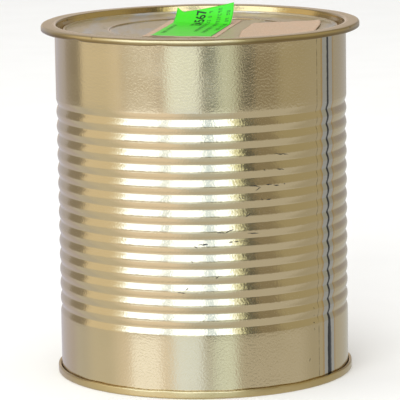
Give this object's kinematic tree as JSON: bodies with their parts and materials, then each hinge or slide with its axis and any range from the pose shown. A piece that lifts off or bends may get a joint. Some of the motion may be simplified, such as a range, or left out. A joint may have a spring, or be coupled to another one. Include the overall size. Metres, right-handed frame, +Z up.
{
  "type": "ball can",
  "caption": "Gold-lacquered tinplate can with rolled beads and a welded side seam, one end seamed on and one end laid loose on top with paper labels.",
  "frame": {"origin": "middle of the base, on the surface that the can stands on", "axes": "+Z up along the can's axis; -Y is the front, with the green label facing up behind the front rim; the side weld is at the front right"},
  "size_m": [0.1084, 0.1084, 0.1249],
  "materials": {
    "gold_lacquered_tinplate": "bright tinplate under a clear gold lacquer, satin reflections",
    "sealing_compound": "matt grey flowed-in rubber lining",
    "kraft_paper": "matt pinkish-brown kraft paper with a torn edge",
    "green_label_paper": null
  },
  "bodies": {
    "can": {"can_body": "gold_lacquered_tinplate", "bottom_end": "gold_lacquered_tinplate", "bottom_seam_compound": "sealing_compound"},
    "lid": {"lid_end": "gold_lacquered_tinplate", "lid_compound": "sealing_compound", "kraft_label": "kraft_paper", "torn_kraft_label": "kraft_paper", "price_sticker": "green_label_paper"}
  },
  "joints": [
    {"name": "lid_lift", "type": "slide", "parent": "can", "child": "lid", "axis": [0, 0, 1], "range_m": [0, 0.12]}
  ]
}
